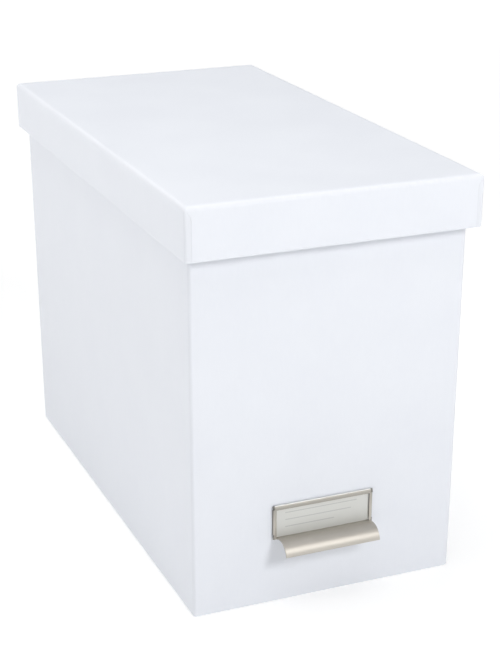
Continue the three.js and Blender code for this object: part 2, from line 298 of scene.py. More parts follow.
def liningPaper():
    look = liningPaperLook
    finish = Finish("liningPaper", {"IOR": look["refraction"]})
    where = finish.place()
    tooth = finish.noise(where, look["toothScale"], 4.0, 0.65)
    cloud = finish.noise(where, look["cloudScale"], 3.0, 0.5)
    fleck = finish.ramp(tooth * 0.7 + cloud * 0.3, look["flecks"])
    finish.set("Base Color", finish.blend(fleck, look["fleck"], look["paper"]))
    finish.set("Roughness", look["roughness"] + 0.12 * cloud)
    finish.bump(tooth, *look["relief"])
    return finish.material


greyBoardLook = dict(
    board=(0.36, 0.33, 0.29),
    pale=(0.47, 0.45, 0.41),
    speck=(0.16, 0.15, 0.14),
    pulpScale=420,
    layerScale=900,
    layerStretch=(1, 1, 6),
    speckScale=1500,
    clouds=[(0.35, 0.0), (0.65, 1.0)],
    specks=[(0.68, 0.0), (0.72, 1.0)],
    refraction=1.45,
    roughness=0.84,
    relief=(0.5, 0.2 * mm),
)


def greyBoard():
    look = greyBoardLook
    finish = Finish("greyBoard", {"IOR": look["refraction"]})
    where = finish.place()
    pulp = finish.noise(where, look["pulpScale"], 5.0, 0.7)
    layers = finish.noise(finish.place(look["layerStretch"]), look["layerScale"], 2.0, 0.5)
    specks = finish.ramp(finish.noise(where, look["speckScale"]), look["specks"])
    clouds = finish.ramp(pulp, look["clouds"])
    colour = finish.blend(clouds, look["board"], look["pale"])
    finish.set("Base Color", finish.blend(specks, colour, look["speck"]))
    finish.set("Roughness", look["roughness"] + 0.1 * pulp)
    finish.bump(pulp * 0.6 + layers * 0.4, *look["relief"])
    return finish.material


satinNickelLook = dict(
    metal=(0.575, 0.543, 0.496),
    darkTone=(0.495, 0.469, 0.422),
    # colour of the painted shade
    tarnish=(0.17, 0.17, 0.155),
    # colour of the painted highlight
    rubbed=(0.90, 0.90, 0.88),
    grain=(22, 900, 900),
    smearScale=95,
    roughness=0.465,
    relief=(0.12, 0.03 * mm),
)


def satinNickel():
    look = satinNickelLook
    finish = Finish("satinNickel", {"Metallic": 1.0})
    grain = finish.noise(finish.place(look["grain"]), 1.0, 4.0, 0.6)
    smear = finish.noise(finish.place(), look["smearScale"], 3.0, 0.5)
    colour = finish.blend(smear, look["darkTone"], look["metal"])
    # a painted highlight lightens the top bar's upward-facing upper edge
    colour = finish.blend(finish.attribute("rubbed"), colour, look["rubbed"])
    # painted shade darkens the corner notches, the side flanges and the top bar
    tarnish = (finish.attribute("tarnish") * (0.7 + 0.5 * smear)).clamped()
    finish.set("Base Color", finish.blend(tarnish, colour, look["tarnish"]))
    finish.set("Roughness", look["roughness"] + 0.06 * smear + 0.05 * grain + 0.05 * tarnish)
    finish.bump(grain, *look["relief"])
    return finish.material


railSteelLook = dict(
    metal=(0.56, 0.57, 0.58),
    darkTone=(0.44, 0.45, 0.47),
    grain=(18, 1100, 1100),
    spangleScale=210,
    roughness=0.30,
    relief=(0.18, 0.03 * mm),
)


def railSteel():
    look = railSteelLook
    finish = Finish("railSteel", {"Metallic": 1.0})
    grain = finish.noise(finish.place(look["grain"]), 1.0, 3.0, 0.6)
    spangle = finish.noise(finish.place(), look["spangleScale"])
    finish.set("Base Color", finish.blend(spangle, look["darkTone"], look["metal"]))
    finish.set("Roughness", look["roughness"] + 0.14 * spangle)
    finish.bump(grain, *look["relief"])
    return finish.material


cardStockLook = dict(
    card=(0.69, 0.695, 0.665),
    cloudy=(0.655, 0.66, 0.635),
    ink=(0.42, 0.43, 0.425),
    lineHalf=0.014,
    lines=[(0.72, 0.10, 0.86), (0.50, 0.10, 0.80), (0.28, 0.10, 0.62)],
    grainScale=1700,
    cloudScale=60,
    refraction=1.47,
    roughness=0.5,
    relief=(0.2, 0.06 * mm),
)


def cardStock():
    look = cardStockLook
    finish = Finish("cardStock", {"IOR": look["refraction"]})
    across, up, _ = finish.add("ShaderNodeUVMap", {"uv_map": "cardMap"}).parts()
    grain = finish.noise(finish.place(), look["grainScale"], 3.0, 0.6)
    cloud = finish.noise(finish.place(), look["cloudScale"])
    ruled = 0.0
    for level, start, stop in look["lines"]:
        onLine = abs(up - level) < look["lineHalf"]
        ruled = onLine * (across > start) * (across < stop) + ruled
    colour = finish.blend(cloud, look["cloudy"], look["card"])
    inked = (ruled * (0.35 + 0.45 * grain)).clamped()
    finish.set("Base Color", finish.blend(inked, colour, look["ink"]))
    finish.set("Roughness", look["roughness"] + 0.12 * cloud)
    finish.bump(grain, *look["relief"])
    return finish.material


finishes = {
    "white_paper": coverPaper(),
    "lining_paper": liningPaper(),
    "grey_board": greyBoard(),
    "satin_nickel": satinNickel(),
    "rail_steel": railSteel(),
    "label_stock": cardStock(),
}
for row in frame["record"]["subparts"]:
    carried = nodes[row["node"]].data.materials
    carried.clear()
    carried.append(finishes[row["material_slot"]])
print("finishes made:", len(finishes))


# Geometry Nodes: a recipe is a tree with named sizes, grown once on a plain mesh

meshFinish = dict(weld=0.002 * mm, smoothFrom=32)


class Recipe(Maker):
    def __init__(self, name, sizes):
        super().__init__(bpy.data.node_groups.new(name, "GeometryNodeTree"))
        face = self.tree.interface
        face.new_socket("Geometry", in_out="INPUT", socket_type="NodeSocketGeometry")
        for label, kind in {**sizes, "Material": "Material"}.items():
            face.new_socket(label, in_out="INPUT", socket_type="NodeSocket" + kind)
        face.new_socket("Geometry", in_out="OUTPUT", socket_type="NodeSocketGeometry")
        self.start = self.tree.nodes.new("NodeGroupInput")

    def size(self, label):
        return Wire(self, self.start.outputs[label])

    def read(self, name, kind="FLOAT"):
        return self.add("GeometryNodeInputNamedAttribute", {"data_type": kind}, {"Name": name})

    def curveOf(self, mesh):
        return self.add("GeometryNodeMeshToCurve", {}, {"Mesh": mesh})

    def geometryOf(self, label):
        return self.add("GeometryNodeObjectInfo", {}, {"Object": self.size(label)}, "Geometry")

    def store(self, geometry, label, value, kind="FLOAT"):
        settings = {"data_type": kind, "domain": "POINT"}
        inputs = {"Geometry": geometry, "Name": label, "Value": value}
        return self.add("GeometryNodeStoreNamedAttribute", settings, inputs)

    def move(self, geometry, place):
        inputs = {"Geometry": geometry, "Position": place}
        return self.add("GeometryNodeSetPosition", {}, inputs)

    def merge(self, geometry):
        inputs = {"Geometry": geometry, "Distance": meshFinish["weld"]}
        return self.add("GeometryNodeMergeByDistance", {}, inputs)

    def finish(self, geometry):
        whole = self.add("GeometryNodeRealizeInstances", {}, {"Geometry": geometry})
        inputs = {"Geometry": whole, "Material": self.size("Material")}
        done = self.add("GeometryNodeSetMaterial", {}, inputs)
        self.feed(self.tree.nodes.new("NodeGroupOutput").inputs[0], done)


def polyline(name, points, closed, attributes):
    mesh = bpy.data.meshes.new(name)
    count = len(points)
    edges = [(step, (step + 1) % count) for step in range(count if closed else count - 1)]
    mesh.from_pydata([Vector(point) for point in points], edges, [])
    for key, values in attributes.items():
        isVector = isinstance(values[0], tuple)
        layer = mesh.attributes.new(key, "FLOAT_VECTOR" if isVector else "FLOAT", "POINT")
        flat = [number for value in values for number in value] if isVector else values
        layer.data.foreach_set("vector" if isVector else "value", flat)
    return addObject(name, mesh)


def grow(name, recipe, source, slot, sizes, keep=()):
    modifier = source.modifiers.new(recipe.tree.name, "NODES")
    modifier.node_group = recipe.tree
    sockets = {item.name: item.identifier for item in recipe.tree.interface.items_tree}
    for label, value in {**sizes, "Material": finishes[slot]}.items():
        modifier[sockets[label]] = value
    graph = bpy.context.evaluated_depsgraph_get()
    mesh = bpy.data.meshes.new_from_object(source.evaluated_get(graph))
    helpers = [value for value in sizes.values() if isinstance(value, bpy.types.Object)]
    for helper in [source] + helpers:
        bpy.data.objects.remove(helper)
    for layer in [layer.name for layer in mesh.attributes if not layer.is_required]:
        if layer not in ("sharp_face", "material_index", *keep):
            mesh.attributes.remove(mesh.attributes[layer])
    closeMesh(mesh)
    return addObject(name, mesh)


def closeMesh(mesh):
    work = bmesh.new()
    work.from_mesh(mesh)
    bmesh.ops.remove_doubles(work, verts=work.verts, dist=meshFinish["weld"])
    bmesh.ops.dissolve_degenerate(work, edges=work.edges, dist=meshFinish["weld"])
    bmesh.ops.recalc_face_normals(work, faces=work.faces)
    work.to_mesh(mesh)
    work.free()
    smooth(mesh, meshFinish["smoothFrom"])


def smooth(mesh, sharpFrom):
    mesh.shade_smooth()
    mesh.set_sharp_from_angle(angle=math.radians(sharpFrom))


def ride(piece, body, slot, *replaced):
    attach(piece, body)
    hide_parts(*replaced)
    print(piece.name, "rides on", body, "with", len(piece.data.polygons), "faces")


# Folded paper: a section of inset and level carried round a rounded rectangle.
# Each ring keeps its own corner radius, and a lapped flap slides in from the corner.

foldLimits = dict(
    leastRound=0.05 * mm,  # of a ring's corners
    centreGap=0.01 * mm,  # a ring nearer the middle closes to a line
    facingEnd=0.99,
    leastSeam=0.3,
)


def foldedPaper():
    limits = foldLimits
    make = Recipe("foldedPaper", {
        "Path": "Object", "Half Width": "Float", "Half Length": "Float",
        "Corner Radius": "Float", "End Drop": "Float", "Drop Above": "Float",
        "Drop Reach": "Float", "Lap Width": "Float", "Lap Top": "Float",
        "Lap Rise": "Float", "Lap Fade": "Float", "Lap Thickness": "Float",
        "Cockle": "Float", "Cockle Scale": "Float", "Seed": "Float",
    })
    swept = make.add("GeometryNodeCurveToMesh", {}, {
        "Curve": make.curveOf(make.geometryOf("Path")),
        "Profile Curve": make.curveOf(make.size("Geometry")),
    })
    level, outer = make.read("level"), make.read("outer")
    targetX, targetY, _ = make.read("target", "FLOAT_VECTOR").parts()
    facingX, facingY, _ = make.read("facing", "FLOAT_VECTOR").parts()
    opened = ((make.size("Lap Top") - level) / make.size("Lap Rise")).clamped()
    proud = make.read("proud") * outer * opened
    inset = make.read("inset") - proud * make.size("Lap Thickness")
    targetX = targetX + make.read("slide") * opened * make.size("Lap Width")
    halfWidth, halfLength = make.size("Half Width"), make.size("Half Length")
    curve = (make.size("Corner Radius") - inset).most(limits["leastRound"])
    curve = curve * (inset < halfWidth - limits["centreGap"])
    runX = (halfWidth - inset - curve).most(0.0)
    runY = (halfLength - inset - curve).most(0.0)
    where = make.vector(targetX, targetY, level + make.size("Seed"))
    wave = make.noise(where, make.size("Cockle Scale"), 1.0, 0.4)
    wave = wave * outer * make.size("Cockle")
    x = targetX.most(-runX).least(runX) + facingX * (curve + wave)
    y = targetY.most(-runY).least(runY) + facingY * (curve + wave)
    onEnd = (abs(facingY) > limits["facingEnd"]) * (abs(targetX) < make.size("Drop Reach"))
    z = level - onEnd * (level > make.size("Drop Above")) * make.size("End Drop")
    placed = make.move(swept, make.vector(x, y, z))
    faded = 1.0 - (make.size("Lap Top") - level) / make.size("Lap Fade")
    faded = faded.most(limits["leastSeam"])
    lapped = outer * opened * (make.size("Lap Width") > 0.0)
    marks = {
        # partly the glue line, partly painted shadow of the lap step
        "seam": make.read("edge") * lapped * faded,
        "strip": abs(facingY) * (1.0 - make.read("proud")) * lapped,
        # painted shade, strongest halfway round each rounded vertical corner
        "crease": abs(facingX * facingY) * 2.0 * outer,
    }
    for label, value in marks.items():
        placed = make.store(placed, label, value)
    make.finish(make.merge(placed))
    return make


foldedPaperRecipe = foldedPaper()
paperMarks = ("fold", "seam", "strip", "crease")


def evenly(low, high, count):
    return [low + (high - low) * (step + 1) / (count + 1) for step in range(count)]


def sectionLine(name, rows, closed):
    insets, levels, folds, outers = zip(*rows)
    points = [(inset, level, 0) for inset, level in zip(insets, levels)]
    attributes = {"inset": insets, "level": levels, "fold": folds, "outer": outers}
    return polyline(name, points, closed, attributes)


stationRoom = dict(sideMargin=4 * mm, endMargin=9 * mm, apart=1 * mm)


# The path's stations: corners, long sides, and ends that carry a lapped flap if there is one
def stationLine(name, half, size, ends):
    room = stationRoom
    rows = []
    corners = [(1, -1), (1, 1), (-1, 1), (-1, -1)]
    for index, (signX, signY) in enumerate(corners):
        for step in range(size["cornerSteps"] + 1):
            angle = math.pi / 2 * (index - 1 + step / size["cornerSteps"])
            facing = (math.cos(angle), math.sin(angle), 0)
            rows.append(((signX * half[0], signY * half[1], 0), facing, 0.0, 0.0, 0.0))
        if index % 2 == 0:
            reach = half[1] - room["sideMargin"]
            for along in evenly(-reach, reach, size["sidePlaces"]):
                target = (signX * half[0], signX * along, 0)
                rows.append((target, (signX, 0, 0), 0.0, 0.0, 0.0))
            continue
        reach = half[0] - room["endMargin"]
        places = ends + evenly(-reach, reach, size["endPlaces"])
        stations = [(along, 0.0, 1.0, 0.0) for along in places]
        if size["lapWidth"]:
            for signEnd in (-1, 1):
                for offset, isProud, isEdge in size["lapPlaces"]:
                    along = signEnd * (half[0] - offset)
                    stations.append((along, float(-signEnd), isProud, isEdge))
        for along, slide, isProud, isEdge in sorted(stations, reverse=signY > 0):
            rows.append(((along, signY * half[1], 0), (0, signY, 0), slide, isProud, isEdge))
    targets, facings, slides, prouds, edges = zip(*rows)
    points = [
        (target[0] + facing[0] * room["apart"], target[1] + facing[1] * room["apart"], 0)
        for target, facing in zip(targets, facings)
    ]
    return polyline(name, points, True, {
        "target": targets, "facing": facings, "slide": slides, "proud": prouds, "edge": edges,
    })


def quarter(steps):
    return [math.pi / 2 * step / steps for step in range(steps + 1)]


def arc(across, up, radius, angles):
    return [(across + radius * math.cos(turn), up + radius * math.sin(turn)) for turn in angles]


# A bend of the paper's outer and inner faces about one centre
def bend(inset, level, radius, thickness, turn, wearAndHighlight, outerShares):
    rows = []
    first, last = outerShares
    outerArc = arc(inset, level, radius, turn)
    innerArc = arc(inset, level, radius - thickness, turn)
    for step, angle in enumerate(turn):
        outer = first + (last - first) * step / (len(turn) - 1)
        # the fold mark lightens the bend's middle: partly wear, partly painted highlight
        fold = wearAndHighlight * math.sin(2 * abs(angle % (math.pi / 2)))
        rows.append(((*outerArc[step], fold, outer), (*innerArc[step], 0.0, 0.0)))
    return rows


# A folded paper has level ends and no lap unless its own dictionary says otherwise
plainFold = dict(
    endDrop=0.0,
    dropAbove=1.0,
    stepPlace=0.0,
    stepWidth=0.0,
    lapWidth=0.0,
    lapTop=0.0,
    lapRise=1 * mm,
    lapFade=1.0,
    lapThickness=0.0,
    cockle=0.0,
    cockleScale=10.0,
    seed=5.0,
)


def foldPaper(name, slot, section, high, ownSize, keep=()):
    size = {**plainFold, **ownSize}
    place, width = size["stepPlace"], size["stepWidth"]
    ends = [-place, width - place, place - width, place] if width else []
    return grow(name, foldedPaperRecipe, section, slot, {
        "Path": stationLine("foldPath", (high.x, high.y), size, ends),
        "Half Width": high.x,
        "Half Length": high.y,
        "Corner Radius": size["cornerRadius"],
        "End Drop": size["endDrop"],
        "Drop Above": size["dropAbove"],
        "Drop Reach": place - width / 2,
        "Lap Width": size["lapWidth"],
        "Lap Top": high.z - size["lapTop"],
        "Lap Rise": size["lapRise"],
        "Lap Fade": size["lapFade"],
        "Lap Thickness": size["lapThickness"],
        "Cockle": size["cockle"],
        "Cockle Scale": size["cockleScale"],
        "Seed": size["seed"],
    }, keep)


lidCoverSize = dict(
    thickness=0.3 * mm,
    foldThick=3.0 * mm,
    edgeRadius=3.0 * mm,
    skirtRadius=1.3 * mm,
    innerRadius=0.5 * mm,
    cornerRadius=1.5 * mm,
    turnedTop=29.3 * mm,
    edgeSteps=8,
    skirtSteps=4,
    innerSteps=3,
    # how much each bend lightens: partly wear, partly painted highlight
    edgeWearAndHighlight=1.0,
    skirtWearAndHighlight=0.3,
    innerWearAndHighlight=0.6,
    wallShares=[0.03, 0.06, 0.1, 0.2, 0.3, 0.5, 0.7, 0.88, 0.98],
    topInsets=[70 * mm, 50 * mm, 30 * mm, 14 * mm, 6 * mm],
    cornerSteps=7,
    sidePlaces=17,
    endPlaces=8,
    lapPlaces=[(-0.5 * mm, 0.0, 0.0), (0.0, 0.0, 1.0), (0.1 * mm, 1.0, 1.0), (0.5 * mm, 1.0, 0.0)],
    lapWidth=4.0 * mm,
    lapTop=0.6 * mm,
    lapRise=5.6 * mm,
    lapFade=26 * mm,
    lapThickness=0.16 * mm,
    cockle=0.1 * mm,
    cockleScale=14.0,
    seed=3.0,
)
lidLow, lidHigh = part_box("lid_wrap")


def lidSection():
    size = lidCoverSize
    thin, top, low = size["thickness"], lidHigh.z, lidLow.z
    edge, skirt, inner = size["edgeRadius"], size["skirtRadius"], size["innerRadius"]
    thick = size["foldThick"]
    pairs = [
        ((inset, top, 0.0, 0.0), (inset, top - thin, 0.0, 0.0))
        for inset in [lidHigh.x] + size["topInsets"]
    ]
    over = [math.pi / 2 + angle for angle in quarter(size["edgeSteps"])]
    pairs += bend(edge, top - edge, edge, thin, over, size["edgeWearAndHighlight"], (0.0, 1.0))
    for share in size["wallShares"]:
        level = top - edge + (low + skirt - top + edge) * share
        pairs.append(((0.0, level, 0.0, 1.0), (thin, level, 0.0, 0.0)))
    under = [math.pi + angle for angle in quarter(size["skirtSteps"])]
    pairs += bend(skirt, low + skirt, skirt, thin, under, size["skirtWearAndHighlight"], (1.0, 0.0))
    inward = [math.pi * 1.5 + angle for angle in quarter(size["innerSteps"])]
    pairs += bend(thick - inner, low + inner, inner, thin, inward, size["innerWearAndHighlight"], (0.0, 0.0))
    turned = low + size["turnedTop"]
    pairs.append(((thick, turned, 0.0, 0.0), (thick - thin, turned, 0.0, 0.0)))
    outside, inside = zip(*pairs)
    return sectionLine("lidSection", [*outside, *inside[::-1]], False)


def makeLidCover():
    section = lidSection()
    return foldPaper(
        "lid_cover_paper", "white_paper", section, lidHigh, lidCoverSize, paperMarks,
    )


bodyCoverSize = dict(
    thickness=0.3 * mm,
    foldThick=3.0 * mm,
    footRadius=1.8 * mm,
    rimRadius=0.5 * mm,
    cornerRadius=2.0 * mm,
    turnedUnder=15 * mm,
    turnedIn=15 * mm,
    endDrop=11.55 * mm,
    dropAbove=235 * mm,
    stepPlace=84.8 * mm,
    stepWidth=0.2 * mm,
    footSteps=6,
    rimSteps=3,
    # how much each bend lightens: partly wear, partly painted highlight
    footWearAndHighlight=1.0,
    rimWearAndHighlight=0.6,
    wallShares=[0.006, 0.02, 0.08, 0.16, 0.28, 0.4, 0.52, 0.64, 0.76, 0.88, 0.97, 0.997],
    cornerSteps=6,
    sidePlaces=15,
    endPlaces=9,
    cockle=0.12 * mm,
    cockleScale=11.0,
    seed=8.0,
)
bodyLow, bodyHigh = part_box("body_wrap")


def bodySection():
    size = bodyCoverSize
    thin, thick = size["thickness"], size["foldThick"]
    low, rim = bodyLow.z, bodyHigh.z
    foot, lip = size["footRadius"], size["rimRadius"]
    pairs = [
        ((inset, low, 0.0, 0.0), (inset, low + thin, 0.0, 0.0))
        for inset in (size["turnedUnder"], size["turnedUnder"] / 2)
    ]
    upward = [math.pi * 1.5 - angle for angle in quarter(size["footSteps"])]
    pairs += bend(foot, low + foot, foot, thin, upward, size["footWearAndHighlight"], (0.0, 1.0))
    for share in size["wallShares"]:
        level = low + foot + (rim - lip - low - foot) * share
        pairs.append(((0.0, level, 0.0, 1.0), (thin, level, 0.0, 0.0)))
    over = [math.pi - angle for angle in quarter(size["rimSteps"])]
    pairs += bend(lip, rim - lip, lip, thin, over, size["rimWearAndHighlight"], (0.0, 0.0))
    inward = [math.pi / 2 - angle for angle in quarter(size["rimSteps"])]
    pairs += bend(thick - lip, rim - lip, lip, thin, inward, size["rimWearAndHighlight"], (0.0, 0.0))
    turned = rim - size["turnedIn"]
    pairs.append(((thick, turned, 0.0, 0.0), (thick - thin, turned, 0.0, 0.0)))
    outside, inside = zip(*pairs)
    return sectionLine("bodySection", [*outside, *inside[::-1]], True)


def makeBodyCover():
    section = bodySection()
    return foldPaper(
        "body_cover_paper", "white_paper", section, bodyHigh, bodyCoverSize, paperMarks,
    )


wallLiningSize = dict(
    paper=0.3 * mm,
    cornerRadius=4.2 * mm,
    endDrop=11.55 * mm,
    dropAbove=238 * mm,
    stepPlace=83.6 * mm,
    stepWidth=0.15 * mm,
    levelShares=[0.01, 0.1, 0.25, 0.4, 0.55, 0.7, 0.85, 0.94, 0.99],
    cornerSteps=5,
    sidePlaces=15,
    endPlaces=9,
)
liningLow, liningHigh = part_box("wall_lining")


def makeWallLining():
    size = wallLiningSize
    far = bodyCoverSize["foldThick"]
    near = far - size["paper"]
    low, high = liningLow.z, liningHigh.z
    levels = [low + (high - low) * share for share in size["levelShares"]]
    front = [(far, level, 0.0, 0.0) for level in [low] + levels + [high]]
    back = [(near, level, 0.0, 0.0) for level in [high] + levels[::-1] + [low]]
    section = sectionLine("liningSection", front + back, True)
    return foldPaper("wall_lining_paper", "lining_paper", section, bodyHigh, size)


ride(makeLidCover(), "lid", "white_paper", "lid_wrap")
ride(makeBodyCover(), "box", "white_paper", "body_wrap")
ride(makeWallLining(), "box", "lining_paper", "wall_lining")
print("cover papers folded")


# File rails: a folded channel run along X, and rivets turned and set through both

ringRadius = 1 * mm


def foldedRail():
    make = Recipe("foldedRail", {"Length": "Float", "Middle": "Float", "Steps": "Int"})
    half = make.size("Length") * 0.5
    line = make.add("GeometryNodeCurvePrimitiveLine", {}, {
        "Start": make.vector(-half, 0.0, 0.0), "End": make.vector(half, 0.0, 0.0),
    })
    line = make.add("GeometryNodeResampleCurve", {}, {"Curve": line, "Count": make.size("Steps")})
    along = make.add("GeometryNodeInputPosition").parts()[0]
    line = make.store(line, "along", along)
    channel = make.add("GeometryNodeCurveToMesh", {}, {
        "Curve": line, "Profile Curve": make.curveOf(make.size("Geometry")), "Fill Caps": True,
    })
    place = make.vector(
        make.read("along"), make.read("across") + make.size("Middle"), make.read("height"),
    )
    make.finish(make.move(channel, place))
    return make


def turnedRivets():
    make = Recipe("turnedRivets", {"Section": "Object", "Sides": "Int"})
    ring = make.add("GeometryNodeCurvePrimitiveCircle", {}, {
        "Resolution": make.size("Sides"), "Radius": ringRadius,
    })
    ring = make.store(ring, "round", make.add("GeometryNodeInputPosition"), "FLOAT_VECTOR")
    turned = make.add("GeometryNodeCurveToMesh", {}, {
        "Curve": ring, "Profile Curve": make.curveOf(make.geometryOf("Section")),
    })
    roundX, roundZ, _ = make.read("round", "FLOAT_VECTOR").parts()
    reach = make.read("reach") * (1 / ringRadius)
    place = make.vector(roundX * reach, make.read("depth"), roundZ * reach)
    turned = make.merge(make.move(turned, place))
    spots = make.add("GeometryNodeMeshToPoints", {}, {"Mesh": make.size("Geometry")})
    turn = make.vector(0.0, 0.0, make.read("turn"))
    make.finish(make.add("GeometryNodeInstanceOnPoints", {}, {
        "Points": spots, "Instance": turned, "Rotation": turn,
    }))
    return make


railSize = dict(
    sheet=0.8 * mm,
    leg=12.0 * mm,
    bendRadius=1.2 * mm,
    edgeRound=0.2 * mm,
    edgeSteps=3,
    bendSteps=6,
    lengthSteps=9,
)
rivetSize = dict(
    shank=1.5 * mm,
    head=3.0 * mm,
    headThick=0.8 * mm,
    bore=0.9 * mm,
    boreDepth=3.2 * mm,
    inset=15 * mm,
    drop=7 * mm,
    seat=0.02 * mm,
    rolledShare=0.92,
    domeSteps=6,
    sides=28,
)
railLow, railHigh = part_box("front_file_rail")
railMiddle = (railLow.y + railHigh.y) / 2


def railSection():
    size = railSize
    half = (railHigh.y - railLow.y) / 2
    sheet, radius, soft = size["sheet"], size["bendRadius"], size["edgeRound"]
    top, low = railHigh.z, railHigh.z - size["leg"]
    inner, small = half - sheet, radius - sheet
    edge, tight = quarter(size["edgeSteps"]), quarter(size["edgeSteps"])[::-1]
    side = arc(half - soft, low + soft, soft, [angle - math.pi / 2 for angle in edge])
    side += arc(half - radius, top - radius, radius, quarter(size["bendSteps"]))
    under = arc(inner - small, top - sheet - small, small, tight)
    under += arc(inner + soft, low + soft, soft, [angle + math.pi for angle in edge])
    outline = side + [(-y, z) for y, z in side[::-1]]
    outline += [(-y, z) for y, z in under[::-1]] + under
    across, heights = zip(*outline)
    points = [(y, z, 0) for y, z in outline]
    return polyline("railSection", points, True, {"across": across, "height": heights})


def makeRail(name, middle):
    return grow(name, foldedRailRecipe, railSection(), "rail_steel", {
        "Length": railHigh.x - railLow.x, "Middle": middle, "Steps": railSize["lengthSteps"],
    })


# Half a rivet's outline: a domed head outside the box, a rolled and hollow one inside
def rivetSection(grip):
    size = rivetSize
    head, tall, seat = size["head"], size["headThick"], size["seat"]
    rolled = head * size["rolledShare"]
    rows = [(0.0, -grip - tall)]
    for angle in quarter(size["domeSteps"]):
        rows.append((head * math.sin(angle), -grip - tall * math.cos(angle)))
    rows += [(head, seat - grip), (size["shank"], seat - grip)]
    rows += [(size["shank"], grip - seat), (rolled, grip - seat)]
    middle, lip = (rolled + size["bore"]) / 2, (rolled - size["bore"]) / 2
    for step in range(size["domeSteps"] * 2 + 1):
        angle = math.pi * step / (size["domeSteps"] * 2)
        rows.append((middle + lip * math.cos(angle), grip + tall * math.sin(angle)))
    rows += [(size["bore"], grip - size["boreDepth"]), (0.0, grip - size["boreDepth"])]
    radii, depths = zip(*rows)
    points = [(radius, depth, 0) for radius, depth in rows]
    return polyline("rivetSection", points, False, {"reach": radii, "depth": depths})


def makeRivets():
    size = rivetSize
    grip = (railHigh.y - railLow.y) / 2
    level = railHigh.z - size["drop"]
    reach = railHigh.x - size["inset"]
    spots = [(x, side * -railMiddle, level) for side in (-1, 1) for x in (-reach, reach)]
    turns = [0.0 if y < 0 else math.pi for _, y, _ in spots]
    source = polyline("rivetSpots", spots, False, {"turn": turns})
    return grow("rail_rivets", turnedRivetsRecipe, source, "rail_steel", {
        "Section": rivetSection(grip), "Sides": size["sides"],
    })


foldedRailRecipe = foldedRail()
turnedRivetsRecipe = turnedRivets()
ride(makeRail("front_hanging_rail", railMiddle), "box", "rail_steel", "front_file_rail")
ride(makeRail("rear_hanging_rail", -railMiddle), "box", "rail_steel", "rear_file_rail")
rivetNodes = [
    end + side + "rail_rivet" for end in ("front_", "rear_") for side in ("left_", "right_")
]
ride(makeRivets(), "box", "rail_steel", *rivetNodes)
print("rails and rivets made")


# Label holder: a frame with bent flanges, a ledge that runs on into the pull, and prongs

holderSize = dict(
    sheet=0.8 * mm,
    standOff=2.0 * mm,
    sideBar=2.2 * mm,
    topBar=3.3 * mm,
    topSink=0.85 * mm,
    bottomBar=1.2 * mm,
    notch=3.0 * mm,
    relief=0.35 * mm,
    bendRadius=0.5 * mm,
    topRolls=[(3.0 * mm, 28), (0.7 * mm, 80)],
    rollSteps=5,
    frameColumns=5,
    bendSteps=4,
    edgeLoop=0.35 * mm,
    pullRadius=9.1 * mm,
    pullDepth=-8.67 * mm,
    pullHeight=-6.75 * mm,
    ledgeRow=0.6,  # where the ledge has its middle row, as a share of its depth
    pullStart=70.4,
    pullTip=169.5,
    pullHalf=31.55 * mm,
    pullShift=-0.05 * mm,
    pullSteps=24,
    pullColumns=7,
    prongWidth=3.0 * mm,
    prongSpacing=9.0 * mm,
    prongReach=5.0 * mm,
    prongBend=0.7 * mm,
    prongStart=-0.4 * mm,
    wallThick=3.0 * mm,
    wallGap=0.05 * mm,
    edgeRound=0.18 * mm,
    trim=0.25 * mm,  # half of what the frame is narrower on its left than the solid
    level=45 * mm,
    height=23 * mm,
)
holderLow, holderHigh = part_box("label_holder")
holderX = (holderLow.x + holderHigh.x) / 2 + holderSize["trim"]
holderHalf = (holderHigh.x - holderLow.x) / 2 - holderSize["trim"]
holderZ, holderTop = holderSize["level"], holderSize["height"]
wallY = bodyLow.y

sheetFinish = dict(weld=0.01 * mm, bevelSteps=2, bevelFrom=50, smoothFrom=40)


# Sheet metal: patches of quads through columns of points, given a thickness and soft edges
class Sheet:
    def __init__(self):
        self.points, self.faces = [], []

    def patch(self, columns):
        base = len(self.points)
        rows = len(columns[0])
        for column in columns:
            self.points += column
        for step in range(len(columns) - 1):
            for row in range(rows - 1):
                first = base + step * rows + row
                self.faces.append((first, first + rows, first + rows + 1, first + 1))

    def solid(self, name, thickness, edgeRound, slot):
        mesh = bpy.data.meshes.new(name)
        mesh.from_pydata([Vector(point) for point in self.points], [], self.faces)
        work = bmesh.new()
        work.from_mesh(mesh)
        bmesh.ops.remove_doubles(work, verts=work.verts, dist=sheetFinish["weld"])
        bmesh.ops.recalc_face_normals(work, faces=work.faces)
        work.to_mesh(mesh)
        work.free()
        piece = addObject(name, mesh)
        shell = piece.modifiers.new("thickness", "SOLIDIFY")
        shell.thickness, shell.offset = thickness, 0
        shell.use_even_offset = True
        soft = piece.modifiers.new("edges", "BEVEL")
        soft.width, soft.segments = edgeRound, sheetFinish["bevelSteps"]
        soft.limit_method = "ANGLE"
        soft.angle_limit = math.radians(sheetFinish["bevelFrom"])
        graph = bpy.context.evaluated_depsgraph_get()
        piece.data = bpy.data.meshes.new_from_object(piece.evaluated_get(graph))
        piece.modifiers.clear()
        piece.data.materials.clear()
        piece.data.materials.append(finishes[slot])
        return piece


def joinPieces(name, pieces, slot):
    work = bmesh.new()
    for piece in pieces:
        work.from_mesh(piece.data)
        bpy.data.objects.remove(piece)
    mesh = bpy.data.meshes.new(name)
    work.to_mesh(mesh)
    work.free()
    mesh.materials.append(finishes[slot])
    smooth(mesh, sheetFinish["smoothFrom"])
    return addObject(name, mesh)


def holderPoint(x, depth, height):
    return (holderX + x, wallY + depth, holderZ + height)


